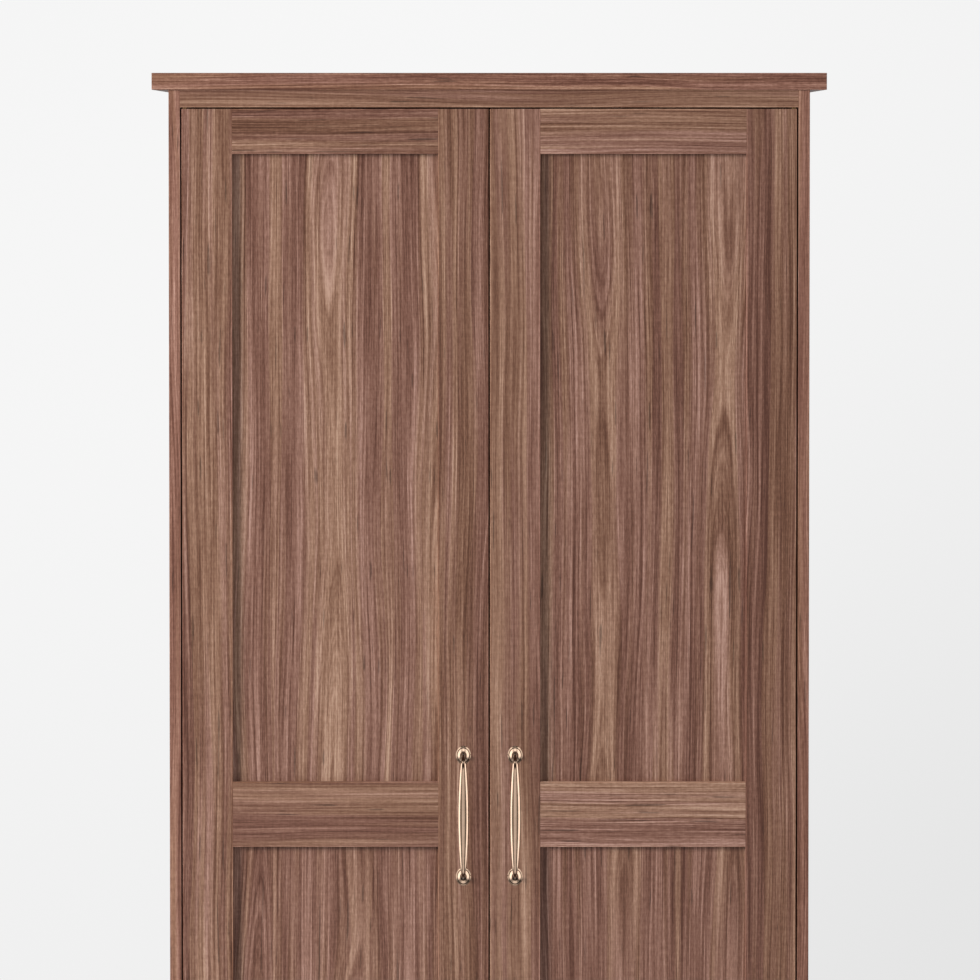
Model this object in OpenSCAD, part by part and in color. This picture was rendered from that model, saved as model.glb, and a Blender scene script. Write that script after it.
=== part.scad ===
// Two-door armoire with inset frame-and-panel doors.
// Millimetres. X runs across the front, +Y to the back, +Z up. The floor is z = 0.
// The doors turn on pivot pins hidden in the gaps above and below them.

/* [Overall] */
// Width across the outer faces of the side panels
body_w = 840; // [780:10:960]
// Depth from the door fronts to the back face
body_d = 560; // [520:10:620]
// Height from the floor to the top
total_h = 2020; // [1960:10:2100]

/* [Boards] */
// Thickness of the top board
top_t = 22; // [20:1:28]
// Distance that the top board passes each side panel
top_side_overhang = 22; // [10:1:40]
// Distance that the top board passes the door fronts
top_front_overhang = 3; // [0:1:6]
// Thickness of the side panels
side_t = 15; // [15:1:19]
// Thickness of the face rail under the top, as seen from the front
face_rail_h = 23; // [22:1:30]
// Depth of the face rail, front to back
face_rail_d = 60; // [50:1:90]
// Thickness of the floor board
floor_t = 22; // [20:1:26]
// Thickness of the two shelves
shelf_t = 18; // [16:1:22]
// Thickness of the rails at the back and of the plinth boards
rail_t = 18; // [16:1:20]
// Thickness of the back panels
back_t = 9; // [6:1:9]
// Height of the plinth boards
plinth_h = 68; // [60:1:90]
// Setback of the front plinth behind the door fronts
plinth_setback = 8; // [4:1:30]

/* [Doors] */
// Gap round each door and between the two
gap = 2; // [2:0.5:3]
// Thickness of a door
door_t = 20; // [20:1:22]
// Width of the stiles
stile_w = 66; // [64:1:75]
// Height of the top rail of a door
door_top_rail_h = 59; // [50:1:80]
// Height of the mid rail of a door
door_mid_rail_h = 86; // [70:1:100]
// Height of the bottom rail of a door
door_bottom_rail_h = 81; // [70:1:120]
// Recess of the panels behind the door front
panel_recess = 8.5; // [6:0.5:9]
// Thickness of the panels and of the grooves and tenons
panel_t = 7; // [6:0.5:7]

/* [Pulls] */
// Distance between the two feet of a pull
pull_centres = 160; // [128:32:192]
// Distance from the door front to the outermost face of the bar
pull_reach = 32; // [28:1:40]
// Widest width of the bar, at its middle
pull_bar_w = 13.8; // [10:0.2:16]
// Width of the bar at its feet
pull_foot_w = 6.4; // [6:0.2:8]
// Distance from the middle of the mid rail down to the middle of the pull
pull_drop = 2; // [0:0.5:6]
// Width of a rosette
rosette_w = 20; // [18:1:26]
// Length of a rosette, up and down
rosette_l = 24; // [18:1:30]
// Distance that a rosette stands out from the door
rosette_h = 7; // [4:0.5:8]

/* [Inside] */
// Height of the hat space between the hat shelf and the face rail
hat_space_h = 295; // [240:5:350]
// Height of the space under the adjustable shelf
low_space_h = 288; // [224:32:416]
// Diameter of the hanging rail
hanging_rail_d = 25; // [22:1:30]
// Distance from the hat shelf down to the middle of the hanging rail
hanging_rail_drop = 60; // [50:5:90]

/* [Hidden] */
$fn = 48;
eps = 1;

walnut = "#8a6554";
walnut_inside = "#916c5a";
pull_metal = "#c8b398";
steel = "#b9bcc0";
brass = "#c4a15c";
beech = "#cfae83";
black = "#26262a";

// Main planes
half_in = body_w / 2 - side_t;
front_y = -(body_d - pull_reach) / 2;
back_y = front_y + body_d;
foot_gap = 6;
floor_z0 = foot_gap + plinth_h;
floor_z1 = floor_z0 + floor_t;
top_z0 = total_h - top_t;
face_rail_z0 = top_z0 - face_rail_h;
inner_back_y = back_y - back_t;

// Rebate for the back panels, and the rails that they are screwed to
rebate_w = 8;
rear_rail_h = 80;
back_seam_z = 1037;
back_rail_h = 60;

// Doors
door_w = half_in - 1.5 * gap;
door_h = face_rail_z0 - floor_z1 - 2 * gap;
door_x0 = -half_in + gap;
door_z0 = floor_z1 + gap;
panel_open_w = door_w - 2 * stile_w;
panel_open_h = (door_h - door_top_rail_h - door_mid_rail_h - door_bottom_rail_h) / 2;
mid_rail_w0 = door_bottom_rail_h + panel_open_h;
top_rail_w0 = door_h - door_top_rail_h;
groove_d = 11;
panel_in = 9;
tenon_l = 30;
tenon_shoulder = 11;
DOOR_RAILS = [
    [0, door_bottom_rail_h],
    [mid_rail_w0, door_mid_rail_h],
    [top_rail_w0, door_top_rail_h]
];

// Pivots: the pin stands pivot_in from the outer edge and from the front of the door
pivot_in = 4;
pivot_pin_r = 2;
pivot_play = 0.05;
leaf_t = 2.5;
leaf_nose_r = 3.4;
leaf_l = 36;
leaf_w = 11;
leaf_screw_u = [15, 29];
pin_past_leaf = 6;
washer_r = 3.3;
top_washer_t = 1.9;

// Small countersunk screw, the same everywhere
screw_r = 1.5;
screw_l = 14;
screw_head_r = 3;
screw_head_h = 1.6;

// Pull
pull_screw_r = 2;
pull_screw_in = 9;
pull_screw_head_r = 4;
pull_screw_head_h = 2.5;
pull_hole_r = 2.2;
pull_w = mid_rail_w0 + door_mid_rail_h / 2 - pull_drop;
pull_u = door_w - stile_w / 2;
pull_bar_t = 7.5;
pull_bow_n = 3.4;
pull_steps = 28;
rosette_steps = 8;
rosette_hole_w = pull_foot_w + 1;
pull_neck_r = pull_foot_w / 2;

// Catches and strike plates, top and bottom of each meeting stile
catch_w = 40;
catch_h = 12;
catch_d = 15;
strike_t = 1.5;
strike_gap = 0.3;
magnet_w = 24;
magnet_h = 8;
magnet_t = 4;
strike_w = 30;
strike_h = 13;
strike_screw_spread = 9;
catch_screw_spread = 15;
catch_v = door_t + strike_t + strike_gap;

// Shelves
hat_z1 = face_rail_z0 - hat_space_h;
hat_z0 = hat_z1 - shelf_t;
shelf_front_v = 36;
low_z0 = floor_z1 + low_space_h;
low_side_play = 1;
low_back_play = 4;
pin_r = 2.5;
pin_in = 9;
pin_out = 9;
pin_pitch = 32;
pin_rows = 5;
PIN_V = [90, 470];

// Hanging rail
rail_z = hat_z0 - hanging_rail_drop;
rail_y = (front_y + shelf_front_v + inner_back_y) / 2;
rail_wall = 1.5;
socket_flange_t = 3;
socket_flange_r = 26;
socket_ring_t = 2.5;
socket_ring_l = 14;
socket_screw_r = 20;

// Knock-down fittings: [distance behind the door fronts, height of the bolt, board thickness]
cam_in = 24;
cam_r = 7.5;
cam_past_bolt = 3.5;
bolt_r = 3;
bolt_head_r = 3.5;
bolt_in_side = 9;
CAMS = [
    [70, floor_z0 + floor_t / 2, floor_t],
    [480, floor_z0 + floor_t / 2, floor_t],
    [85, hat_z0 + shelf_t / 2, shelf_t],
    [490, hat_z0 + shelf_t / 2, shelf_t]
];

// Dowels between the boards and the side panels: [distance behind the door fronts, height]
dowel_r = 4;
dowel_in_side = 10;
dowel_in_board = 20;
rear_rail_v = body_d - back_t - rail_t / 2;
rear_rail_z0 = top_z0 - rear_rail_h;
plinth_front_v = plinth_setback + rail_t / 2;
plinth_rear_v = body_d - 40;
DOWELS = [
    [130, floor_z0 + floor_t / 2],
    [410, floor_z0 + floor_t / 2],
    [150, hat_z0 + shelf_t / 2],
    [420, hat_z0 + shelf_t / 2],
    [24, face_rail_z0 + face_rail_h / 2],
    [48, face_rail_z0 + face_rail_h / 2],
    [rear_rail_v, rear_rail_z0 + 20],
    [rear_rail_v, rear_rail_z0 + 60],
    [rear_rail_v, back_seam_z - 15],
    [rear_rail_v, back_seam_z + 15],
    [plinth_front_v, foot_gap + 20],
    [plinth_front_v, foot_gap + 48],
    [plinth_rear_v, foot_gap + 20],
    [plinth_rear_v, foot_gap + 48]
];
TOP_DOWEL_V = [90, 300, 500];
top_dowel_in_top = 12;
top_dowel_in_side = 18;

// Screws through the face rail into the top board
top_screw_r = 2;
top_screw_head_r = 4;
top_screw_head_h = 2.4;
top_screw_in_top = 13;
TOP_SCREW_X = [-250, 0, 250];
top_screw_v = 42;

// Angle brackets between the rear top rail and the top board
bracket_l = 28;
bracket_w = 20;
bracket_t = 2;
bracket_hole_at = 17;
bracket_x = -180;

// Holes for screws into the wall, through the rear top rail and the upper back panel
wall_hole_r = 3.5;
wall_hole_x = 300;
wall_hole_z = rear_rail_z0 + 30;

// Back panel screws: columns across the rails, and pairs down each side panel
back_screw_r = 1.75;
back_screw_l = 24;
back_screw_head_r = 3.6;
back_screw_head_h = 2;
BACK_RAIL_X = [-330, -110, 110, 330];
BACK_RAIL_Z = [floor_z0 + floor_t / 2, back_seam_z - 18, back_seam_z + 18, rear_rail_z0 + 55];

// Feet and the blocks that carry them
block_l = 38;
foot_r = 14;
foot_disc_h = 5;
stem_r = 4;
stem_top = 52;
sleeve_r = 6.5;
sleeve_l = 18;
foot_x = -half_in + block_l / 2;
FOOT_V = [
    plinth_front_v + rail_t / 2 + block_l / 2,
    plinth_rear_v - rail_t / 2 - block_l / 2
];

// ---------------------------------------------------------------- placing

// Children stand once on the left, as drawn, and once mirrored on the right
module both_sides() {
    children();
    mirror([1, 0, 0]) children();
}

// The left door's own corner: u across from its outer edge, v back from its front, w up
module door_place() {
    translate([door_x0, front_y, door_z0]) children();
}

// A board between x0 and x1, from v0 to v1 behind the door fronts and from z0 to z1
module board(x0, x1, v0, v1, z0, z1) {
    translate([x0, front_y + v0, z0]) cube([x1 - x0, v1 - v0, z1 - z0]);
}

// ---------------------------------------------------------------- fasteners

// Countersunk screw with its head's flat at the origin, pointing along -Z
module countersunk(r, l, head_r, head_h) {
    rotate([180, 0, 0]) rotate_extrude() polygon([
        [0, 0], [head_r, 0], [r, head_h], [r, l - 2 * r], [0, l]
    ]);
}

module small_screw() {
    countersunk(screw_r, screw_l, screw_head_r, screw_head_h);
}

module dowel(l) {
    cylinder(r = dowel_r, h = l);
}

// Dowels of the left side, lying along X from inside the side panel into the boards
module side_dowels() {
    for (d = DOWELS)
        translate([-half_in - dowel_in_side, front_y + d[0], d[1]])
            rotate([0, 90, 0]) dowel(dowel_in_side + dowel_in_board);
}

module top_dowels() {
    for (v = TOP_DOWEL_V)
        translate([-half_in - side_t / 2, front_y + v, top_z0 - top_dowel_in_side])
            dowel(top_dowel_in_side + top_dowel_in_top);
}

module side_cam_bolts() {
    for (c = CAMS)
        translate([-half_in, front_y + c[0], c[1]]) rotate([0, 90, 0]) {
            translate([0, 0, -bolt_in_side]) cylinder(r = bolt_r, h = bolt_in_side + cam_in - 4);
            translate([0, 0, cam_in - 5]) cylinder(r = bolt_head_r, h = 4);
        }
}

// Space that a cam lock and its bolt take in the board
module side_cam_cuts() {
    for (c = CAMS)
        translate([-half_in, front_y + c[0], c[1]]) {
            rotate([0, 90, 0]) translate([0, 0, -eps]) cylinder(r = bolt_head_r, h = cam_in + eps);
            translate([cam_in, 0, -c[2] / 2 - eps])
                cylinder(r = cam_r, h = c[2] / 2 + cam_past_bolt + eps);
        }
}

module side_cam_locks() {
    for (c = CAMS)
        translate([-half_in, front_y + c[0], c[1]]) difference() {
            translate([cam_in, 0, -c[2] / 2]) cylinder(r = cam_r, h = c[2] / 2 + cam_past_bolt);
            rotate([0, 90, 0]) cylinder(r = bolt_head_r, h = cam_in + 1);
            translate([cam_in - 3, -0.6, -c[2] / 2 - eps]) cube([6, 1.2, 1.5 + eps]);
            translate([cam_in - 0.6, -3, -c[2] / 2 - eps]) cube([1.2, 6, 1.5 + eps]);
        }
}

// ---------------------------------------------------------------- pivots

// Plan of a pivot leaf, in the door's own u and v
module leaf_plan() {
    translate([pivot_in, pivot_in]) circle(r = leaf_nose_r);
    translate([pivot_in - leaf_nose_r, pivot_in]) square([leaf_l - pivot_in + leaf_nose_r, leaf_w]);
    translate([leaf_l, pivot_in + leaf_w / 2]) circle(r = leaf_w / 2);
}

module leaf_blank() {
    linear_extrude(height = leaf_t) leaf_plan();
}

// The two screws of a leaf, heads level with the face at height w, pointing along dir (1 up, -1 down)
module leaf_screws(w, dir) {
    for (u = leaf_screw_u)
        translate([u, pivot_in + leaf_w / 2, w])
            rotate([dir > 0 ? 180 : 0, 0, 0]) small_screw();
}

// Leaf let into the underside of the face rail, with its pin pointing down, at the top of the door
module upper_frame_pivot() {
    translate([0, 0, door_h + gap]) difference() {
        leaf_blank();
        leaf_screws(0, 1);
    }
    translate([pivot_in, pivot_in, door_h - leaf_t - pin_past_leaf])
        cylinder(r = pivot_pin_r, h = pin_past_leaf + leaf_t + gap + leaf_t / 2);
}

// Leaf let into the floor board, with its pin pointing up, at the foot of the door
module lower_frame_pivot() {
    translate([0, 0, -gap - leaf_t]) difference() {
        leaf_blank();
        leaf_screws(leaf_t, -1);
    }
    translate([pivot_in, pivot_in, -gap - leaf_t / 2])
        cylinder(r = pivot_pin_r, h = leaf_t / 2 + gap + leaf_t + pin_past_leaf);
}

// Leaf in the edge of the door, with the bore that turns on the pin; w is its lower face
module door_leaf(w, head_w, dir) {
    difference() {
        translate([0, 0, w]) leaf_blank();
        translate([pivot_in, pivot_in, w - eps])
            cylinder(r = pivot_pin_r + pivot_play, h = leaf_t + 2 * eps);
        leaf_screws(head_w, dir);
    }
}

// ---------------------------------------------------------------- carcass

module top_board() {
    color(walnut) difference() {
        board(-body_w / 2 - top_side_overhang, body_w / 2 + top_side_overhang,
            -top_front_overhang, body_d, top_z0, total_h);
        both_sides() top_dowels();
        top_screws();
        both_sides() bracket_screw_set();
    }
}

module left_side_panel() {
    color(walnut) difference() {
        board(-body_w / 2, -half_in, 0, body_d, foot_gap, top_z0);
        board(-half_in - rebate_w, -half_in + eps, body_d - back_t, body_d + eps,
            floor_z0, top_z0 + eps);
        side_dowels();
        top_dowels();
        side_cam_bolts();
        side_pin_holes();
        socket_screw_set();
    }
}

module right_side_panel() {
    mirror([1, 0, 0]) left_side_panel();
}

module front_top_rail() {
    color(walnut) difference() {
        board(-half_in, half_in, 0, face_rail_d, face_rail_z0, top_z0);
        both_sides() {
            side_dowels();
            door_place() {
                translate([0, 0, door_h + gap]) linear_extrude(height = leaf_t) leaf_plan();
                leaf_screws(door_h + gap, 1);
            }
            catch_screw_pair(face_rail_z0 - catch_h, 1);
        }
        top_screws();
    }
}

module rear_top_rail() {
    color(walnut_inside) difference() {
        board(-half_in, half_in, body_d - back_t - rail_t, body_d - back_t, rear_rail_z0, top_z0);
        both_sides() {
            side_dowels();
            wall_hole();
            bracket_screw_set();
        }
        back_screw_set();
    }
}

module back_rail() {
    color(walnut_inside) difference() {
        board(-half_in, half_in, body_d - back_t - rail_t, body_d - back_t,
            back_seam_z - back_rail_h / 2, back_seam_z + back_rail_h / 2);
        both_sides() side_dowels();
        back_screw_set();
    }
}

module floor_board() {
    color(walnut) difference() {
        board(-half_in, half_in, 0, body_d - back_t, floor_z0, floor_z1);
        both_sides() {
            side_dowels();
            side_cam_cuts();
            door_place() {
                translate([0, 0, -gap - leaf_t])
                    linear_extrude(height = leaf_t + eps) leaf_plan();
                leaf_screws(-gap, -1);
            }
            catch_screw_pair(floor_z1 + catch_h, -1);
        }
        back_screw_set();
    }
}

module plinth_board(v) {
    difference() {
        board(-half_in, half_in, v - rail_t / 2, v + rail_t / 2, foot_gap, floor_z0);
        both_sides() side_dowels();
    }
}

module plinth_front() {
    color(walnut) plinth_board(plinth_front_v);
}

module plinth_rear() {
    color(walnut_inside) plinth_board(plinth_rear_v);
}

module corner_blocks() {
    color(beech) both_sides() for (v = FOOT_V) difference() {
        board(-half_in, -half_in + block_l, v - block_l / 2, v + block_l / 2, foot_gap, floor_z0);
        translate([foot_x, front_y + v, foot_gap - eps]) cylinder(r = sleeve_r, h = sleeve_l + eps);
        translate([foot_x, front_y + v, foot_gap]) cylinder(r = stem_r + 0.5, h = stem_top);
    }
}

module foot_sockets() {
    color(steel) both_sides() for (v = FOOT_V)
        translate([foot_x, front_y + v, foot_gap]) difference() {
            cylinder(r = sleeve_r, h = sleeve_l);
            translate([0, 0, -eps]) cylinder(r = stem_r, h = sleeve_l + 2 * eps);
        }
}

module levelling_feet() {
    color(black) both_sides() for (v = FOOT_V) translate([foot_x, front_y + v, 0]) {
        rotate_extrude() polygon([
            [0, 0], [foot_r, 0], [foot_r, foot_disc_h - 1.5], [foot_r - 1.5, foot_disc_h],
            [stem_r, foot_disc_h], [stem_r, stem_top - 2], [stem_r - 1, stem_top], [0, stem_top]
        ]);
    }
}

module back_panel(z0, z1) {
    difference() {
        board(-half_in - rebate_w, half_in + rebate_w, body_d - back_t, body_d, z0, z1);
        back_screw_set();
        both_sides() wall_hole();
    }
}

module upper_back_panel() {
    color(walnut_inside) back_panel(back_seam_z, top_z0);
}

module lower_back_panel() {
    color(walnut_inside) back_panel(floor_z0, back_seam_z);
}

// Screws through the back panels into the boards and rails behind them
module back_screw_set() {
    for (x = BACK_RAIL_X, z = BACK_RAIL_Z)
        translate([x, back_y, z]) rotate([-90, 0, 0])
            countersunk(back_screw_r, back_screw_l, back_screw_head_r, back_screw_head_h);
}

module back_panel_screws() {
    color(steel) back_screw_set();
}

module wall_hole() {
    translate([-wall_hole_x, back_y + eps, wall_hole_z]) rotate([90, 0, 0])
        cylinder(r = wall_hole_r, h = back_t + rail_t + 2 * eps);
}

module top_screws() {
    for (x = TOP_SCREW_X)
        translate([x, front_y + top_screw_v, face_rail_z0]) rotate([180, 0, 0])
            countersunk(top_screw_r, face_rail_h + top_screw_in_top, top_screw_head_r,
                top_screw_head_h);
}

module top_board_screws() {
    color(steel) top_screws();
}

// Left angle bracket, in the corner of the rear top rail and the top board
module bracket_shape() {
    x = bracket_x;
    y = inner_back_y - rail_t;
    translate([x - bracket_w / 2, y - bracket_t, top_z0 - bracket_l])
        cube([bracket_w, bracket_t, bracket_l]);
    translate([x - bracket_w / 2, y - bracket_l, top_z0 - bracket_t])
        cube([bracket_w, bracket_l, bracket_t]);
}

module bracket_screw_set() {
    x = bracket_x;
    y = inner_back_y - rail_t;
    translate([x, y - bracket_t, top_z0 - bracket_hole_at]) rotate([90, 0, 0]) small_screw();
    translate([x, y - bracket_hole_at, top_z0 - bracket_t]) rotate([180, 0, 0]) small_screw();
}

module top_brackets() {
    color(steel) both_sides() difference() {
        bracket_shape();
        bracket_screw_set();
    }
}

module bracket_screws() {
    color(steel) both_sides() bracket_screw_set();
}

module cam_bolts() {
    color(steel) both_sides() side_cam_bolts();
}

module cam_locks() {
    color(steel) both_sides() side_cam_locks();
}

module dowels() {
    color(beech) both_sides() {
        side_dowels();
        top_dowels();
    }
}

// ---------------------------------------------------------------- shelves and hanging rail

module hat_shelf() {
    color(walnut_inside) difference() {
        board(-half_in, half_in, shelf_front_v, body_d - back_t, hat_z0, hat_z1);
        both_sides() {
            side_dowels();
            side_cam_cuts();
        }
    }
}

module adjustable_shelf() {
    color(walnut_inside)
        board(-half_in + low_side_play, half_in - low_side_play, shelf_front_v + 10,
            body_d - back_t - rail_t - low_back_play, low_z0, low_z0 + shelf_t);
}

// Rows of holes for the shelf pins, on the left side panel
module side_pin_holes() {
    for (v = PIN_V, i = [0 : pin_rows - 1])
        translate([-half_in + eps, front_y + v,
            low_z0 - pin_r + (i - (pin_rows - 1) / 2) * pin_pitch])
            rotate([0, -90, 0]) cylinder(r = pin_r, h = pin_in + eps);
}

module shelf_pins() {
    color(steel) both_sides() for (v = PIN_V)
        translate([-half_in - pin_in, front_y + v, low_z0 - pin_r])
            rotate([0, 90, 0]) cylinder(r = pin_r, h = pin_in + pin_out);
}

module hanging_rail() {
    color(steel) translate([-half_in + socket_flange_t, rail_y, rail_z]) rotate([0, 90, 0])
        difference() {
            cylinder(d = hanging_rail_d, h = 2 * (half_in - socket_flange_t));
            translate([0, 0, -eps]) cylinder(d = hanging_rail_d - 2 * rail_wall,
                h = 2 * (half_in - socket_flange_t) + 2 * eps);
        }
}

module socket_screw_set() {
    for (s = [-1, 1])
        translate([-half_in + socket_flange_t, rail_y, rail_z + s * socket_screw_r])
            rotate([0, 90, 0]) small_screw();
}

module rail_sockets() {
    color(steel) both_sides() difference() {
        translate([-half_in, rail_y, rail_z]) rotate([0, 90, 0]) {
            cylinder(r = socket_flange_r, h = socket_flange_t);
            difference() {
                cylinder(d = hanging_rail_d + 2 * socket_ring_t, h = socket_ring_l);
                translate([0, 0, socket_flange_t])
                    cylinder(d = hanging_rail_d, h = socket_ring_l);
            }
        }
        socket_screw_set();
    }
}

module rail_socket_screws() {
    color(steel) both_sides() socket_screw_set();
}

// ---------------------------------------------------------------- pivots and catches on the carcass

module frame_pivots() {
    color(brass) both_sides() door_place() {
        upper_frame_pivot();
        lower_frame_pivot();
    }
}

module washer(w, t) {
    translate([pivot_in, pivot_in, w]) difference() {
        cylinder(r = washer_r, h = t);
        translate([0, 0, -eps]) cylinder(r = pivot_pin_r, h = t + 2 * eps);
    }
}

module pivot_washers() {
    color(brass) both_sides() door_place() {
        washer(-gap, gap);
        washer(door_h + gap - top_washer_t, top_washer_t);
    }
}

module pivot_screws() {
    color(brass) both_sides() door_place() {
        leaf_screws(door_h + gap, 1);
        leaf_screws(-gap, -1);
    }
}

// Catch housing of the left door; dir is 1 where it hangs under the face rail, -1 on the floor board
module catch_housing(z, dir) {
    z0 = dir > 0 ? z - catch_h : z;
    difference() {
        translate([door_x0 + pull_u - catch_w / 2, front_y + catch_v, z0])
            cube([catch_w, catch_d, catch_h]);
        catch_magnet(z, dir);
        catch_screw_pair(z - dir * catch_h, dir);
    }
}

module catch_magnet(z, dir) {
    zm = dir > 0 ? z - catch_h / 2 : z + catch_h / 2;
    translate([door_x0 + pull_u - magnet_w / 2, front_y + catch_v, zm - magnet_h / 2])
        cube([magnet_w, magnet_t, magnet_h]);
}

// Two longer screws that hold a catch, heads level with its free face at height z
module catch_screw_pair(z, dir) {
    for (s = [-1, 1])
        translate([door_x0 + pull_u + s * catch_screw_spread, front_y + catch_v + catch_d * 0.6, z])
            rotate([dir > 0 ? 180 : 0, 0, 0])
                countersunk(screw_r, screw_l + catch_h - 3, screw_head_r, screw_head_h);
}

module catches() {
    color(black) both_sides() {
        catch_housing(face_rail_z0, 1);
        catch_housing(floor_z1, -1);
    }
}

module catch_magnets() {
    color(steel) both_sides() {
        catch_magnet(face_rail_z0, 1);
        catch_magnet(floor_z1, -1);
    }
}

module catch_screws() {
    color(steel) both_sides() {
        catch_screw_pair(face_rail_z0 - catch_h, 1);
        catch_screw_pair(floor_z1 + catch_h, -1);
    }
}

// ---------------------------------------------------------------- left door

// Upright of the door frame; groove_u is where its panel groove starts, mortise_u its mortises
module stile(u0, groove_u, mortise_u) {
    difference() {
        translate([u0, 0, 0]) cube([stile_w, door_t, door_h]);
        translate([groove_u, panel_recess, -eps]) cube([groove_d + eps, panel_t, door_h + 2 * eps]);
        for (r = DOOR_RAILS)
            translate([mortise_u, panel_recess, r[0] + tenon_shoulder])
                cube([tenon_l + eps, panel_t, r[1] - 2 * tenon_shoulder]);
    }
}

// Cross rail with a stub that fills the groove, a tenon at each end and a groove on each panel side
module cross_rail(r, groove_below, groove_above) {
    difference() {
        union() {
            translate([stile_w, 0, r[0]]) cube([panel_open_w, door_t, r[1]]);
            translate([stile_w - groove_d, panel_recess, r[0]])
                cube([panel_open_w + 2 * groove_d, panel_t, r[1]]);
            translate([stile_w - tenon_l, panel_recess, r[0] + tenon_shoulder])
                cube([panel_open_w + 2 * tenon_l, panel_t, r[1] - 2 * tenon_shoulder]);
        }
        if (groove_below)
            translate([stile_w - groove_d - eps, panel_recess, r[0] - eps])
                cube([panel_open_w + 2 * groove_d + 2 * eps, panel_t, groove_d + eps]);
        if (groove_above)
            translate([stile_w - groove_d - eps, panel_recess, r[0] + r[1] - groove_d])
                cube([panel_open_w + 2 * groove_d + 2 * eps, panel_t, groove_d + eps]);
    }
}

module door_panel(w0) {
    translate([stile_w - panel_in, panel_recess, w0 - panel_in])
        cube([panel_open_w + 2 * panel_in, panel_t, panel_open_h + 2 * panel_in]);
}

module left_hinge_stile() {
    color(walnut) door_place() difference() {
        stile(0, stile_w - groove_d, stile_w - tenon_l);
        translate([0, 0, door_h - leaf_t]) linear_extrude(height = leaf_t + eps) leaf_plan();
        translate([0, 0, -eps]) linear_extrude(height = leaf_t + eps) leaf_plan();
        for (w = [-eps, door_h - leaf_t - pin_past_leaf - 1])
            translate([pivot_in, pivot_in, w])
                cylinder(r = pivot_pin_r + 0.6, h = leaf_t + pin_past_leaf + 1 + eps);
        leaf_screws(door_h, -1);
        leaf_screws(0, 1);
    }
}

module left_meeting_stile() {
    color(walnut) door_place() difference() {
        stile(door_w - stile_w, door_w - stile_w - eps, door_w - stile_w - eps);
        for (s = [-1, 1])
            translate([pull_u, -eps, pull_w + s * pull_centres / 2]) rotate([-90, 0, 0])
                cylinder(r = pull_hole_r, h = door_t + 2 * eps);
        strike_screw_set();
    }
}

module left_door_top_rail() {
    color(walnut) door_place() cross_rail(DOOR_RAILS[2], true, false);
}

module left_door_mid_rail() {
    color(walnut) door_place() cross_rail(DOOR_RAILS[1], true, true);
}

module left_door_bottom_rail() {
    color(walnut) door_place() cross_rail(DOOR_RAILS[0], false, true);
}

module left_upper_panel() {
    color(walnut) door_place() door_panel(mid_rail_w0 + door_mid_rail_h);
}

module left_lower_panel() {
    color(walnut) door_place() door_panel(door_bottom_rail_h);
}

module left_door_pivots() {
    color(brass) door_place() {
        door_leaf(door_h - leaf_t, door_h, -1);
        door_leaf(0, 0, 1);
    }
}

// Strike plates stand on the back of the meeting stile, opposite the magnets
STRIKE_W = [face_rail_z0 - catch_h / 2 - door_z0, floor_z1 + catch_h / 2 - door_z0];

module strike_screw_set() {
    for (w = STRIKE_W, s = [-1, 1])
        translate([pull_u + s * strike_screw_spread, door_t + strike_t, strike_mid(w)])
            rotate([-90, 0, 0]) small_screw();
}

// Height of the middle of a strike plate, kept on the stile where the catch is near its end
function strike_mid(w) = min(max(w, strike_h / 2 + 0.5), door_h - strike_h / 2 - 0.5);

module left_strike_plates() {
    color(steel) door_place() difference() {
        for (w = STRIKE_W)
            translate([pull_u - strike_w / 2, door_t, strike_mid(w) - strike_h / 2])
                cube([strike_w, strike_t, strike_h]);
        strike_screw_set();
    }
}

module left_door_screws() {
    color(brass) door_place() {
        leaf_screws(door_h, -1);
        leaf_screws(0, 1);
        strike_screw_set();
    }
}

// ---------------------------------------------------------------- pull

// Points of half a bow of half length a and reach b, from its lower foot up to its upper foot
function bow(a, b) = [
    for (i = [0 : pull_steps])
        let (t = -90 + 180 * i / pull_steps)
            [b * pow(max(cos(t), 0), 2 / pull_bow_n), a * sign(t) * pow(abs(sin(t)), 2 / pull_bow_n)]
];

// Half width of the bar at height h from its middle
function bar_half_w(h) =
    let (k = min(abs(h) / (pull_centres / 2), 1))
        pull_foot_w / 2 + (pull_bar_w - pull_foot_w) / 2 * (1 - k * k);

module pull_side() {
    difference() {
        polygon(bow(pull_centres / 2 + pull_neck_r, pull_reach));
        polygon(bow(pull_centres / 2 - pull_neck_r, pull_reach - pull_bar_t));
    }
}

module pull_front() {
    a = pull_centres / 2 + pull_neck_r;
    polygon(concat(
        [for (i = [0 : pull_steps]) let (h = -a + 2 * a * i / pull_steps) [bar_half_w(h), h]],
        [for (i = [0 : pull_steps]) let (h = a - 2 * a * i / pull_steps) [-bar_half_w(h), h]]
    ));
}

// Bow of the pull: where its side outline and its front outline both hold
module left_pull() {
    color(pull_metal) door_place() translate([pull_u, 0, pull_w]) difference() {
        intersection() {
            rotate([90, 0, -90]) translate([0, 0, -pull_bar_w])
                linear_extrude(height = 2 * pull_bar_w) pull_side();
            rotate([90, 0, 0]) translate([0, 0, -eps])
                linear_extrude(height = pull_reach + 2 * eps) pull_front();
        }
        for (s = [-1, 1])
            translate([0, eps, s * pull_centres / 2]) rotate([90, 0, 0])
                cylinder(r = pull_screw_r, h = pull_screw_in + eps);
    }
}

// Rosette: an oval dome with a hole for the foot of the pull
module rosette() {
    difference() {
        scale([1, rosette_l / rosette_w, 1]) rotate_extrude() polygon(concat([[0, 0]], [
            for (i = [0 : rosette_steps])
                let (t = 90 * i / rosette_steps)
                    [rosette_w / 2 * cos(t), rosette_h * sin(t)]
        ]));
        translate([-rosette_hole_w / 2, -rosette_hole_w / 2, -eps])
            cube([rosette_hole_w, rosette_hole_w, rosette_h + 2 * eps]);
    }
}

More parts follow.
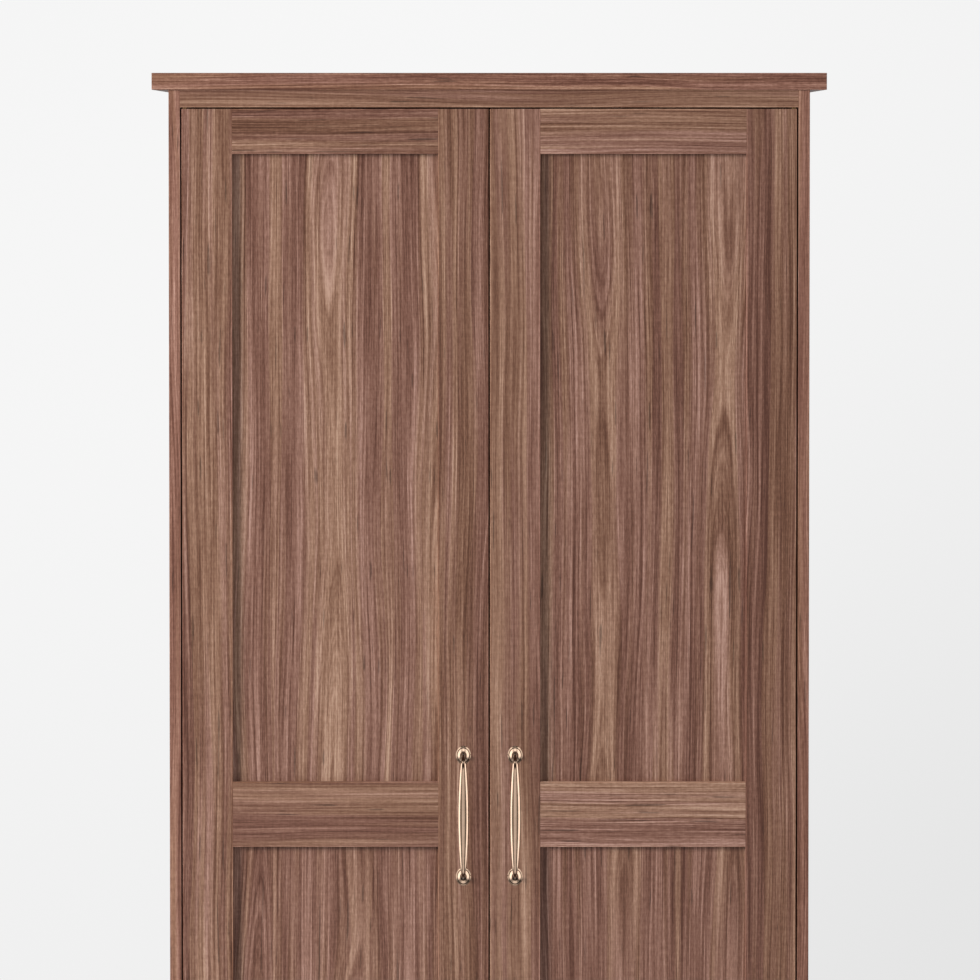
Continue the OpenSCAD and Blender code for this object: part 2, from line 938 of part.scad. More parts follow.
module left_pull_rosettes() {
    color(pull_metal) door_place() for (s = [-1, 1])
        translate([pull_u, 0, pull_w + s * pull_centres / 2]) rotate([90, 0, 0]) rosette();
}

module left_pull_screws() {
    color(steel) door_place() for (s = [-1, 1])
        translate([pull_u, 0, pull_w + s * pull_centres / 2]) rotate([-90, 0, 0]) {
            translate([0, 0, -pull_screw_in]) cylinder(r = pull_screw_r, h = pull_screw_in + door_t);
            translate([0, 0, door_t]) cylinder(r = pull_screw_head_r, h = pull_screw_head_h);
        }
}

// ---------------------------------------------------------------- right door, the mirror of the left

module right_hinge_stile() { mirror([1, 0, 0]) left_hinge_stile(); }
module right_meeting_stile() { mirror([1, 0, 0]) left_meeting_stile(); }
module right_door_top_rail() { mirror([1, 0, 0]) left_door_top_rail(); }
module right_door_mid_rail() { mirror([1, 0, 0]) left_door_mid_rail(); }
module right_door_bottom_rail() { mirror([1, 0, 0]) left_door_bottom_rail(); }
module right_upper_panel() { mirror([1, 0, 0]) left_upper_panel(); }
module right_lower_panel() { mirror([1, 0, 0]) left_lower_panel(); }
module right_pull() { mirror([1, 0, 0]) left_pull(); }
module right_pull_rosettes() { mirror([1, 0, 0]) left_pull_rosettes(); }
module right_pull_screws() { mirror([1, 0, 0]) left_pull_screws(); }
module right_door_pivots() { mirror([1, 0, 0]) left_door_pivots(); }
module right_strike_plates() { mirror([1, 0, 0]) left_strike_plates(); }
module right_door_screws() { mirror([1, 0, 0]) left_door_screws(); }

// ---------------------------------------------------------------- nodes

top_board();
left_side_panel();
right_side_panel();
front_top_rail();
rear_top_rail();
back_rail();
floor_board();
plinth_front();
plinth_rear();
corner_blocks();
upper_back_panel();
lower_back_panel();
hat_shelf();
adjustable_shelf();
shelf_pins();
hanging_rail();
rail_sockets();
rail_socket_screws();
cam_bolts();
cam_locks();
dowels();
back_panel_screws();
top_board_screws();
top_brackets();
bracket_screws();
levelling_feet();
foot_sockets();
frame_pivots();
pivot_washers();
pivot_screws();
catches();
catch_magnets();
catch_screws();
left_hinge_stile();
left_meeting_stile();
left_door_top_rail();
left_door_mid_rail();
left_door_bottom_rail();
left_upper_panel();
left_lower_panel();
left_pull();
left_pull_rosettes();
left_pull_screws();
left_door_pivots();
left_strike_plates();
left_door_screws();
right_hinge_stile();
right_meeting_stile();
right_door_top_rail();
right_door_mid_rail();
right_door_bottom_rail();
right_upper_panel();
right_lower_panel();
right_pull();
right_pull_rosettes();
right_pull_screws();
right_door_pivots();
right_strike_plates();
right_door_screws();
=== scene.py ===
import math

import bmesh
import bpy
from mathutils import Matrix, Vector


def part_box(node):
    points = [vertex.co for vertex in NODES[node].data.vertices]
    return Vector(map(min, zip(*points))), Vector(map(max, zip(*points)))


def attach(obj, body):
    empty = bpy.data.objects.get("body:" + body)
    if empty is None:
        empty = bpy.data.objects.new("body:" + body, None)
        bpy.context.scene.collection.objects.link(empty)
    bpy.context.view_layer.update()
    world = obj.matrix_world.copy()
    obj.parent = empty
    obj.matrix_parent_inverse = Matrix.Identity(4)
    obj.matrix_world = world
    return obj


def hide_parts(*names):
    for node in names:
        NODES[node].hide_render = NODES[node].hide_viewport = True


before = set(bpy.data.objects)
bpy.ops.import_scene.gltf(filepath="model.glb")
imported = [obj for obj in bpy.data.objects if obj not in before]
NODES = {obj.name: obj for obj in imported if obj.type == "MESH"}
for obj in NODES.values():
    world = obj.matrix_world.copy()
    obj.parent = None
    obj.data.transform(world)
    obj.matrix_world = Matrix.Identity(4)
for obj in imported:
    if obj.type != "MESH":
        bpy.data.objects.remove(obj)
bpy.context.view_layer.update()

# Looks of a two-door walnut armoire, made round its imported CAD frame. Objects are in metres in
# the row frame: the doors face -Y and the floor is z = 0. MM turns millimetres into metres.
MM = 0.001
AXES = "XYZ"


# ---------------------------------------------------------------- node trees

class Graph:
    """Short calls that add nodes to one shader tree."""

    def __init__(self, tree):
        self.tree = tree

    def add(self, kind, inputs=(), **settings):
        node = self.tree.nodes.new("ShaderNode" + kind)
        for key, value in settings.items():
            setattr(node, key, value)
        for key, value in dict(inputs).items():
            self.feed(node.inputs[key], value)
        return node

    def feed(self, socket, value):
        if isinstance(value, bpy.types.NodeSocket):
            self.tree.links.new(value, socket)
        else:
            socket.default_value = value

    def math(self, operation, *values, clamp=False):
        node = self.add("Math", enumerate(values), operation=operation, use_clamp=clamp)
        return node.outputs[0]

    def total(self, *values):
        """Sum of numbers or sockets."""
        result = values[0]
        for value in values[1:]:
            result = self.math("ADD", result, value)
        return result

    def scale(self, vector, factors):
        node = self.add("VectorMath", {0: vector, 1: factors}, operation="MULTIPLY")
        return node.outputs[0]

    def shift(self, vector, by):
        return self.add("VectorMath", {0: vector, 1: by}, operation="ADD").outputs[0]

    def combine(self, x, y, z):
        return self.add("CombineXYZ", {0: x, 1: y, 2: z}).outputs[0]

    def split(self, vector):
        return self.add("SeparateXYZ", {0: vector}).outputs

    def noise(self, vector, detail=2.0, roughness=0.5):
        node = self.add("TexNoise", {"Vector": vector, "Scale": 1.0, "Detail": detail,
                                     "Roughness": roughness})
        return node.outputs[0]

    def sized(self, vector, size):
        """Point in units of a size given on each axis."""
        return self.scale(vector, tuple(1 / length for length in size))

    def swing(self, value, size):
        """Noise value turned into a number that swings by about a quarter of size either way."""
        return self.math("MULTIPLY", self.math("SUBTRACT", value, 0.5), size)

    def step(self, value, low, high):
        """Smooth step: 0 below low, 1 above high."""
        node = self.add("MapRange", {"Value": value, "From Min": low, "From Max": high},
                        interpolation_type="SMOOTHSTEP")
        return node.outputs[0]

    def mix(self, factor, a, b, blend="MIX"):
        node = self.add("Mix", {0: factor, 6: a, 7: b}, data_type="RGBA", blend_type=blend)
        return node.outputs[2]

    def ramp(self, factor, stops):
        node = self.add("ValToRGB", {0: factor})
        elements = node.color_ramp.elements
        while len(elements) < len(stops):
            elements.new(1.0)
        for element, (place, colour) in zip(elements, stops):
            element.position = place
            element.color = colour
        return node.outputs[0]


def linear(red, green, blue):
    """Scene-linear colour of an sRGB colour given from 0 to 255."""
    def one(value):
        part = value / 255
        return part / 12.92 if part <= 0.04045 else ((part + 0.055) / 1.055) ** 2.4
    return (one(red), one(green), one(blue), 1.0)


def new_material(name):
    """Material with an empty tree that ends in a Principled shader: (material, graph, shader)."""
    material = bpy.data.materials.new(name)
    material.use_nodes = True
    graph = Graph(material.node_tree)
    graph.tree.nodes.clear()
    shader = graph.add("BsdfPrincipled")
    graph.add("OutputMaterial", {"Surface": shader.outputs[0]})
    return material, graph, shader


# ---------------------------------------------------------------- wood

WALNUT_TONES = [
    (0.00, linear(77, 47, 35)),
    (0.25, linear(101, 68, 54)),
    (0.50, linear(125, 91, 75)),
    (0.75, linear(151, 117, 100)),
    (1.00, linear(178, 145, 128)),
]
BEECH_TONES = [
    (0.00, linear(160, 118, 78)),
    (0.45, linear(196, 158, 114)),
    (0.70, linear(210, 176, 134)),
    (1.00, linear(226, 198, 160)),
]


# How far each part of the figure swings the tone, from the widest bands to the finest flecks
SWINGS = {"bands": 0.60, "wide_fibres": 0.32, "streaks": 0.50, "year": 0.08, "era": 0.13,
          "lines": 1.34, "fibres": 1.20, "flecks": 0.48}
RIPPLE_SWING = 0.16
LATE_WOOD = -0.20
# Tone of a plain board, and how much of a board's own tone reaches the ramp
MIDDLE_TONE = 0.56
TONE_SHARE = 0.65
MAUVE = (1.0, 0.975, 1.04, 1)
OLIVE = (1.0, 1.01, 0.95, 1)
MARK_DARK = 0.45
PORE_DARK = 0.14


def wood_group(name, tones, ring, contrast):
    """Plain-sawn wood: growth rings, ring mm apart, round a pith that wanders behind the board.
    Grain is the point in mm from the board's middle, as (across, depth, along). Pith is the
    pith's place beside and behind the middle, and the distance after which the figure is
    mirrored. Seed picks another log, and a Tone above 1 is lighter than a plain board."""
    tree = bpy.data.node_groups.new(name, "ShaderNodeTree")
    for socket, kind in (("Grain", "Vector"), ("Pith", "Vector"), ("Seed", "Float"),
                         ("Tone", "Float")):
        tree.interface.new_socket(socket, in_out="INPUT", socket_type="NodeSocket" + kind)
    for socket, kind in (("Color", "Color"), ("Roughness", "Float"), ("Height", "Float")):
        tree.interface.new_socket(socket, in_out="OUTPUT", socket_type="NodeSocket" + kind)
    graph = Graph(tree)
    given = tree.nodes.new("NodeGroupInput").outputs
    seed = given["Seed"]
    log = graph.combine(graph.math("MULTIPLY", seed, 137.0), graph.math("MULTIPLY", seed, 71.0),
                        graph.math("MULTIPLY", seed, 913.0))
    place = graph.shift(given["Grain"], log)

    # The grain sways along the board, and the pith comes nearer and goes away
    sway = graph.noise(graph.sized(place, (200, 200, 620)), detail=1.0)
    wander = graph.noise(graph.sized(place, (30, 30, 260)), detail=0.0)
    rise = graph.noise(graph.sized(place, (80, 90, 460)), detail=1.0)
    point = graph.split(given["Grain"])
    pith = graph.split(given["Pith"])
    across = graph.total(point[0], graph.swing(sway, 24.0), graph.swing(wander, 4.0))
    beside = graph.math("PINGPONG", graph.math("ADD", across, pith[0]), pith[2])
    behind = graph.total(point[1], graph.swing(rise, 40.0), graph.math("MULTIPLY", pith[1], -1.0))
    radius = graph.math("SQRT", graph.math("ADD", graph.math("MULTIPLY", beside, beside),
                                           graph.math("MULTIPLY", behind, behind)))
    along = graph.split(place)[2]
    rings = graph.combine(radius, graph.math("MULTIPLY", seed, 19.0), along)
    fibre = graph.combine(across, graph.split(place)[1], along)

    # Bands of colour and streaks follow the rings, so they make the cathedrals too
    bands = graph.noise(graph.sized(rings, (26, 1, 600)), detail=1.0)
    streaks = graph.noise(graph.sized(rings, (8, 1, 560)), detail=2.0)
    lines = graph.noise(graph.sized(rings, (2.4, 1, 420)), detail=2.0, roughness=0.75)
    spacing = graph.noise(graph.sized(rings, (14, 1, 900)), detail=1.0)
    turn = graph.math("ADD", graph.math("DIVIDE", radius, ring), graph.swing(spacing, 3.0))
    part = graph.math("FRACT", turn)
    year = graph.add("TexWhiteNoise", {"W": graph.math("FLOOR", turn)}, noise_dimensions="1D")
    group = graph.math("ADD", graph.math("DIVIDE", turn, 6.0), graph.swing(streaks, 0.4))
    era = graph.add("TexWhiteNoise", {"W": graph.math("FLOOR", group)}, noise_dimensions="1D")
    late = graph.math("MULTIPLY", graph.step(part, 0.55, 0.93),
                      graph.math("SUBTRACT", 1.0, graph.step(part, 0.94, 1.0)))
    late = graph.math("MULTIPLY", late, year.outputs["Value"])

    # Fibres run straight across the rings; ripple and pores are finer still
    wide_fibres = graph.noise(graph.sized(fibre, (16, 16, 380)), detail=2.0)
    fibres = graph.noise(graph.sized(fibre, (1.6, 1.6, 160)), detail=2.0, roughness=0.8)
    flecks = graph.noise(graph.sized(fibre, (1.5, 1.5, 7)), detail=1.0)
    ripple = graph.noise(graph.sized(place, (14, 14, 2.6)), detail=1.0)
    pore_noise = graph.noise(graph.sized(place, (0.8, 0.8, 9)), detail=1.0)
    pores = graph.step(pore_noise, 0.60, 0.70)
    figure = {"bands": bands, "wide_fibres": wide_fibres, "streaks": streaks,
              "year": year.outputs["Value"], "era": era.outputs["Value"], "lines": lines,
              "fibres": fibres, "flecks": flecks}
    tone = graph.total(
        MIDDLE_TONE,
        graph.math("MULTIPLY", graph.math("SUBTRACT", given["Tone"], 1.0), TONE_SHARE),
        *[graph.swing(figure[key], size * contrast) for key, size in SWINGS.items()],
        graph.swing(ripple, RIPPLE_SWING),
        graph.math("MULTIPLY", late, LATE_WOOD * contrast),
    )
    colour = graph.ramp(tone, tones)

    # Some bands are nearer to mauve and some to olive
    warmth = graph.noise(graph.shift(graph.sized(rings, (12, 1, 500)), (7.0, 3.0, 5.0)),
                         detail=1.0)
    warmth = graph.total(warmth, graph.swing(era.outputs["Value"], 0.25))
    tint = graph.mix(graph.step(warmth, 0.36, 0.64), MAUVE, OLIVE)
    colour = graph.mix(1.0, colour, tint, "MULTIPLY")

    # Short dark mineral streaks
    marks = graph.noise(graph.shift(graph.sized(fibre, (3.4, 3.4, 62)), (3.0, 9.0, 1.0)),
                        detail=0.0)
    marks = graph.step(marks, 0.75, 0.82)
    dark = graph.math("SUBTRACT", 1.0, graph.math("ADD", graph.math("MULTIPLY", marks, MARK_DARK),
                                                  graph.math("MULTIPLY", pores, PORE_DARK)))
    colour = graph.mix(1.0, colour, graph.combine(dark, dark, dark), "MULTIPLY")

    roughness = graph.total(0.44, graph.swing(streaks, 0.10), graph.math("MULTIPLY", pores, 0.16))
    height = graph.total(graph.math("MULTIPLY", pores, -1.0), graph.swing(fibres, 0.7),
                         graph.math("MULTIPLY", late, 0.25))
    result = tree.nodes.new("NodeGroupOutput").inputs
    for socket, value in (("Color", colour), ("Roughness", roughness), ("Height", height)):
        graph.feed(result[socket], value)
    return tree


# How much painted highlight lightens the wood along the two long edges of a board, where its eased
# edge catches the light, and the distances from the edge in mm between which that fades in
EDGE_HIGHLIGHT = 0.30
EDGE_HIGHLIGHT_BAND = (1.9, 0.7)
WOOD_BUMP = {"Strength": 0.25, "Distance": 0.15 * MM}
WOOD_SPECULAR = 0.35
WALNUT = wood_group("walnut", WALNUT_TONES, 6.0, 1.0)
WALNUT_QUIET = wood_group("walnut_quiet", WALNUT_TONES, 6.0, 0.8)
WALNUT_INSIDE = wood_group("walnut_inside", WALNUT_TONES, 6.0, 0.7)
BEECH = wood_group("beech", BEECH_TONES, 3.0, 0.45)


def wood(name, group, box, along, face, pith, seed, tone):
    """Satin wood for one board. along and face are the axes of its grain and of its face."""
    middle = (box[0] + box[1]) / 2
    material, graph, shader = new_material(name)
    across = (set(AXES) - {along, face}).pop()
    half = (box[1] - box[0])[AXES.index(across)] / 2 / MM
    where = graph.add("TexCoord").outputs["Object"]
    where = graph.scale(graph.shift(where, [-value for value in middle]), (1 / MM,) * 3)
    parts = graph.split(where)
    grain = graph.combine(*[parts[AXES.index(axis)] for axis in (across, face, along)])
    group_node = graph.add("Group", node_tree=group)
    for key, value in (("Grain", grain), ("Pith", pith), ("Seed", seed), ("Tone", tone)):
        graph.feed(group_node.inputs[key], value)
    bump = graph.add("Bump", {"Height": group_node.outputs["Height"], **WOOD_BUMP})
    # Painted highlight: the wood is lighter along the two long edges of the board
    edge = graph.step(graph.math("ABSOLUTE", parts[AXES.index(across)]),
                      *[half - distance for distance in EDGE_HIGHLIGHT_BAND])
    light = graph.math("ADD", 1.0, graph.math("MULTIPLY", edge, EDGE_HIGHLIGHT))
    graph.feed(shader.inputs["Base Color"], graph.mix(1.0, group_node.outputs["Color"],
                                                      graph.combine(light, light, light),
                                                      "MULTIPLY"))
    graph.feed(shader.inputs["Roughness"], group_node.outputs["Roughness"])
    graph.feed(shader.inputs["Normal"], bump.outputs[0])
    shader.inputs["Specular IOR Level"].default_value = WOOD_SPECULAR
    return material


# ---------------------------------------------------------------- metal and plastic

def metal(name, colour, roughness, spread, brush=(1, 1, 1), painted_shade=None):
    """Metal whose roughness varies by spread, with hairlines stretched along brush. A dark colour of
    painted shade and reflection shows where the mesh says so."""
    material, graph, shader = new_material(name)
    where = graph.scale(graph.add("TexCoord").outputs["Object"], (1 / MM,) * 3)
    haze = graph.noise(graph.scale(where, (0.12, 0.12, 0.12)), detail=3.0)
    hairlines = graph.noise(graph.scale(where, tuple(4.0 / size for size in brush)), detail=2.0)
    wear_and_shade = graph.mix(graph.step(haze, 0.4, 0.7), colour,
                     tuple(0.9 * value for value in colour[:3]) + (1,))
    # Painted shade and reflection: the metal darkens to the given colour where the mesh's attribute
    # says so
    if painted_shade:
        shade_amount = graph.add("Attribute", attribute_name="painted_shade").outputs["Fac"]
        wear_and_shade = graph.mix(shade_amount, wear_and_shade, painted_shade)
    rough = graph.total(roughness, graph.swing(haze, spread), graph.swing(hairlines, spread))
    bump = graph.add("Bump", {"Height": hairlines, "Strength": 0.08, "Distance": 0.02 * MM})
    graph.feed(shader.inputs["Base Color"], wear_and_shade)
    graph.feed(shader.inputs["Roughness"], rough)
    graph.feed(shader.inputs["Normal"], bump.outputs[0])
    shader.inputs["Metallic"].default_value = 1.0
    return material


def plastic(name, colour):
    """Moulded plastic with a fine grain."""
    material, graph, shader = new_material(name)
    where = graph.scale(graph.add("TexCoord").outputs["Object"], (1 / MM,) * 3)
    grain = graph.noise(graph.scale(where, (2.5, 2.5, 2.5)), detail=3.0)
    lighter = tuple(1.5 * value for value in colour[:3]) + (1,)
    graph.feed(shader.inputs["Base Color"], graph.mix(grain, colour, lighter))
    graph.feed(shader.inputs["Roughness"], graph.total(0.48, graph.swing(grain, 0.2)))
    bump = graph.add("Bump", {"Height": grain, "Strength": 0.3, "Distance": 0.05 * MM})
    graph.feed(shader.inputs["Normal"], bump.outputs[0])
    return material


# ---------------------------------------------------------------- edges of the boards

def modifier_group(name):
    """Empty Geometry Nodes group with one geometry in and one out: (tree, start, end)."""
    tree = bpy.data.node_groups.new(name, "GeometryNodeTree")
    tree.interface.new_socket("Geometry", in_out="INPUT", socket_type="NodeSocketGeometry")
    tree.interface.new_socket("Geometry", in_out="OUTPUT", socket_type="NodeSocketGeometry")
    start = tree.nodes.new("NodeGroupInput").outputs[0]
    end = tree.nodes.new("NodeGroupOutput").inputs[0]
    return tree, start, end


def outer_edge_group():
    """Gives a bevel weight of 1 to the twelve edges of a board's own box, and to no others."""
    tree, start, end = modifier_group("outer_edges")
    nodes, links = tree.nodes, tree.links
    box = nodes.new("GeometryNodeBoundBox")
    links.new(start, box.inputs[0])
    place = nodes.new("GeometryNodeInputPosition").outputs[0]

    def calculate(kind, operation, *values):
        node = nodes.new(kind)
        node.operation = operation
        for index, value in enumerate(values):
            if isinstance(value, bpy.types.NodeSocket):
                links.new(value, node.inputs[index])
            else:
                node.inputs[index].default_value = value
        return node.outputs[0]

    low = calculate("ShaderNodeVectorMath", "SUBTRACT", place, box.outputs["Min"])
    high = calculate("ShaderNodeVectorMath", "SUBTRACT", box.outputs["Max"], place)
    nearest = calculate("ShaderNodeVectorMath", "MINIMUM", low, high)
    split = nodes.new("ShaderNodeSeparateXYZ")
    links.new(nearest, split.inputs[0])
    faces = [calculate("ShaderNodeMath", "LESS_THAN", value, 0.01 * MM) for value in split.outputs]
    count = calculate("ShaderNodeMath", "ADD", calculate("ShaderNodeMath", "ADD", *faces[:2]),
                      faces[2])
    corner = calculate("ShaderNodeMath", "GREATER_THAN", count, 1.5)
    bend = nodes.new("GeometryNodeInputMeshEdgeAngle").outputs[0]
    sharp = calculate("ShaderNodeMath", "GREATER_THAN", bend, math.radians(50))
    store = nodes.new("GeometryNodeStoreNamedAttribute")
    store.data_type = "FLOAT"
    store.domain = "EDGE"
    store.inputs["Name"].default_value = "bevel_weight_edge"
    both_ends = calculate("ShaderNodeMath", "GREATER_THAN", corner, 0.99)
    links.new(start, store.inputs["Geometry"])
    links.new(calculate("ShaderNodeMath", "MULTIPLY", both_ends, sharp), store.inputs["Value"])
    links.new(store.outputs[0], end)
    return tree


OUTER_EDGES = outer_edge_group()


def ease_edges(board, width):
    """Rounds the twelve outer edges of a board, and leaves its holes and grooves alone."""
    weld = board.modifiers.new("weld", "WELD")
    weld.merge_threshold = 0.001 * MM
    flat = board.modifiers.new("flat_faces", "DECIMATE")
    flat.decimate_type = "DISSOLVE"
    flat.angle_limit = math.radians(1)
    marks = board.modifiers.new("outer_edges", "NODES")
    marks.node_group = OUTER_EDGES
    bevel = board.modifiers.new("eased", "BEVEL")
    bevel.limit_method = "WEIGHT"
    bevel.width = width
    bevel.segments = 3
    bevel.use_clamp_overlap = False


# ---------------------------------------------------------------- boards

CARCASS_EDGE = 0.4 * MM
DOOR_EDGE = 0.6 * MM
# Of each board: grain axis, face axis, pith in mm (beside the middle, behind it, and the
# distance after which the figure is mirrored), tone, and wood
BOARDS = {
    "top_board": ("X", "Z", (40, 60, 110), 0.63, WALNUT),
    "left_side_panel": ("Z", "X", (60, 50, 90), 0.85, WALNUT_QUIET),
    "right_side_panel": ("Z", "X", (-50, 50, 90), 0.80, WALNUT_QUIET),
    "front_top_rail": ("X", "Y", (112, 40, 200), 0.86, WALNUT_QUIET),
    "floor_board": ("X", "Z", (30, 60, 110), 0.95, WALNUT),
    "plinth_front": ("X", "Y", (60, 30, 200), 0.94, WALNUT),
    "rear_top_rail": ("X", "Y", (20, 40, 90), 1.00, WALNUT_INSIDE),
    "back_rail": ("X", "Y", (-14, 40, 90), 0.98, WALNUT_INSIDE),
    "plinth_rear": ("X", "Y", (18, 40, 90), 0.96, WALNUT_INSIDE),
    "upper_back_panel": ("Z", "Y", (30, 60, 130), 1.02, WALNUT_INSIDE),
    "lower_back_panel": ("Z", "Y", (-60, 60, 130), 1.00, WALNUT_INSIDE),
    "hat_shelf": ("X", "Z", (-40, 60, 120), 1.03, WALNUT_INSIDE),
    "adjustable_shelf": ("X", "Z", (70, 60, 120), 1.00, WALNUT_INSIDE),
}
DOOR_BOARDS = {
    "left_hinge_stile": ("Z", "Y", (85, 30, 200), 0.88, WALNUT),
    "left_meeting_stile": ("Z", "Y", (-70, 30, 200), 0.71, WALNUT),
    "left_door_top_rail": ("X", "Y", (90, 26, 200), 0.64, WALNUT),
    "left_door_mid_rail": ("X", "Y", (62, 26, 200), 0.87, WALNUT_QUIET),
    "left_door_bottom_rail": ("X", "Y", (70, 30, 200), 0.84, WALNUT),
    "left_upper_panel": ("Z", "Y", (6, 22, 74), 0.98, WALNUT),
    "left_lower_panel": ("Z", "Y", (-30, 26, 66), 0.89, WALNUT),
    "right_hinge_stile": ("Z", "Y", (64, 30, 200), 0.71, WALNUT),
    "right_meeting_stile": ("Z", "Y", (-76, 30, 200), 0.90, WALNUT_QUIET),
    "right_door_top_rail": ("X", "Y", (84, 30, 200), 0.93, WALNUT),
    "right_door_mid_rail": ("X", "Y", (70, 26, 200), 1.15, WALNUT),
    "right_door_bottom_rail": ("X", "Y", (-60, 30, 200), 0.98, WALNUT),
    "right_upper_panel": ("Z", "Y", (50, 24, 78), 0.93, WALNUT),
    "right_lower_panel": ("Z", "Y", (24, 24, 70), 0.88, WALNUT),
}


def paint(node, material):
    """Gives a CAD node's object one material."""
    piece = NODES[node]
    if not piece.material_slots:
        piece.data.materials.append(material)
    for slot in piece.material_slots:
        slot.material = material


# Each board is cut from another log: the first board's seed, and the step to the next one
CARCASS_SEED = 2.0
DOOR_SEED = 31.0
SEED_STEP = 1.7


def finish_boards(boards, first_seed, edge):
    for index, (node, (along, face, pith, tone, group)) in enumerate(boards.items()):
        seed = first_seed + SEED_STEP * index
        paint(node, wood(node + "_wood", group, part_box(node), along, face, pith, seed, tone))
        ease_edges(NODES[node], edge)


# ---------------------------------------------------------------- hardware

HARDWARE = {
    "steel": (linear(196, 198, 201), 0.34, 0.10,
              ["shelf_pins", "rail_socket_screws", "cam_bolts", "back_panel_screws",
               "top_board_screws", "top_brackets", "bracket_screws", "foot_sockets",
               "catch_magnets", "catch_screws", "left_pull_screws", "right_pull_screws",
               "left_strike_plates", "right_strike_plates"]),
    "brass": (linear(120, 96, 62), 0.42, 0.10,
              ["frame_pivots", "pivot_washers", "pivot_screws", "left_door_pivots",
               "right_door_pivots", "left_door_screws", "right_door_screws"]),
    "zinc": (linear(158, 160, 164), 0.52, 0.14, ["cam_locks"]),
    "bronze": (linear(112, 88, 70), 0.36, 0.08, ["hanging_rail", "rail_sockets"]),
}
PLASTIC_NODES = ["catches", "levelling_feet"]
BEECH_NODES = {"corner_blocks": "Z", "dowels": "X"}


def smooth_group():
    """Smooth shading that keeps every edge sharper than 30 degrees."""
    tree, start, end = modifier_group("smooth_by_angle")
    bend = tree.nodes.new("GeometryNodeInputMeshEdgeAngle").outputs[0]
    limit = tree.nodes.new("ShaderNodeMath")
    limit.operation = "LESS_THAN"
    limit.inputs[1].default_value = math.radians(30)
    tree.links.new(bend, limit.inputs[0])
    faces = tree.nodes.new("GeometryNodeSetShadeSmooth")
    edges = tree.nodes.new("GeometryNodeSetShadeSmooth")
    edges.domain = "EDGE"
    tree.links.new(start, faces.inputs[0])
    tree.links.new(faces.outputs[0], edges.inputs[0])
    tree.links.new(limit.outputs[0], edges.inputs["Shade Smooth"])
    tree.links.new(edges.outputs[0], end)
    return tree


SMOOTH = smooth_group()


def smooth(piece):
    weld = piece.modifiers.new("weld", "WELD")
    weld.merge_threshold = 0.001 * MM
    piece.modifiers.new("smooth", "NODES").node_group = SMOOTH


def finish_hardware():
    for name, (colour, roughness, spread, nodes) in HARDWARE.items():
        material = metal(name, colour, roughness, spread, brush=(12, 1, 1))
        for node in nodes:
            paint(node, material)
            smooth(NODES[node])
    black = plastic("black_plastic", linear(38, 38, 41))
    for node in PLASTIC_NODES:
        paint(node, black)
        smooth(NODES[node])
    for node, along in BEECH_NODES.items():
        paint(node, wood(node + "_wood", BEECH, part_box(node), along, "Y", (30, 40, 90), 3.0, 1.0))
        smooth(NODES[node])


# ---------------------------------------------------------------- pulls

# Middle line of the upper half of a pull, from its foot to the middle of the bar:
# distance from the middle of the pull, and distance from the door front, in mm
PULL_LINE = [(80, 2), (80, 6), (78.2, 12), (75.6, 19), (72.6, 23.6), (68.5, 25.9), (60, 27.0),
             (40, 27.9), (20, 28.2), (0, 28.3)]
PULL_FOOT = 80
# Distances from a foot between which the round leg turns into the bar
BAR_START = (6.5, 10.5)
LEG_RADIUS = 2.5
# Half width of the bar at its tips and in its middle, and half its depth in the middle
BAR_TIP_WIDTH = 2.3
BAR_WIDTH = 6.9
BAR_DEPTH = 3.7
LINE_STEPS = 6
# Section of the bar, from its front ridge round to its back: sideways and outwards, from 0 to 1,
# and how dark its painted shade and reflection is
BAR_SECTION = [(0, 1, 0), (0.27, 0.96, 0), (0.33, 0.80, 0.75), (0.57, 0.62, 0.75), (0.63, 0.66, 0),
               (0.90, 0.20, 0), (0.93, 0.14, 0.9), (1, -0.30, 0.9), (0.70, -0.85, 0.8), (0, -1, 0.8)]
# The same at the tips of the bar, where its bright edges slope less
TIP_SECTION = [(0, 0.82, 0), (0.26, 0.80, 0), (0.31, 0.72, 0.75), (0.48, 0.63, 0.75), (0.54, 0.65, 0),
               (0.91, 0.30, 0), (0.95, 0.22, 0.9), (1, -0.30, 0.9), (0.70, -0.85, 0.8), (0, -1, 0.8)]
# Distances from a foot between which the section of the tips turns into that of the middle,
# and between which the bar reaches its full depth
TIP_BLEND = (9, 80)
DEPTH_BLEND = (9, 40)
# Half width of the dark tip, as a share of the bar's
RIDGE_EDGE = 0.5
SECTION_STEPS = 3
# The ridge carries painted shade as far as this from the upper foot, and has lost it at the second
DARK_TIP = (13, 18)
# How dark the painted shade and reflection on the round legs is
LEG_PAINTED_SHADE = 0.92
# Half section of a rosette, from its back to its middle: share of its radius, share of its height,
# and how dark its painted shade and reflection is
ROSETTE_SECTION = [(0, 0, 0.8), (1, 0, 0.8), (1, 0.04, 0.8), (0.98, 0.07, 0.6), (0.88, 0.20, 0.4),
                   (0.84, 0.24, 0.95), (0.76, 0.32, 0.95), (0.73, 0.35, 0.1), (0.66, 0.42, 0),
                   (0.48, 0.56, 0), (0.43, 0.60, 0.95), (0.22, 0.84, 0.95), (0, 1, 0.95)]
ROSETTE_TURNS = 64


def spline(points, steps):
    """Points along a Catmull-Rom curve through the given ones."""
    ends = [points[0], *points, points[-1]]
    result = []
    for before, start, end, after in zip(ends, ends[1:], ends[2:], ends[3:]):
        for step in range(steps):
            t = step / steps
            result.append(tuple(
                0.5 * (2 * b + (c - a) * t + (2 * a - 5 * b + 4 * c - d) * t * t
                       + (3 * b - a - 3 * c + d) * t ** 3)
                for a, b, c, d in zip(before, start, end, after)))
    return [*result, points[-1]]


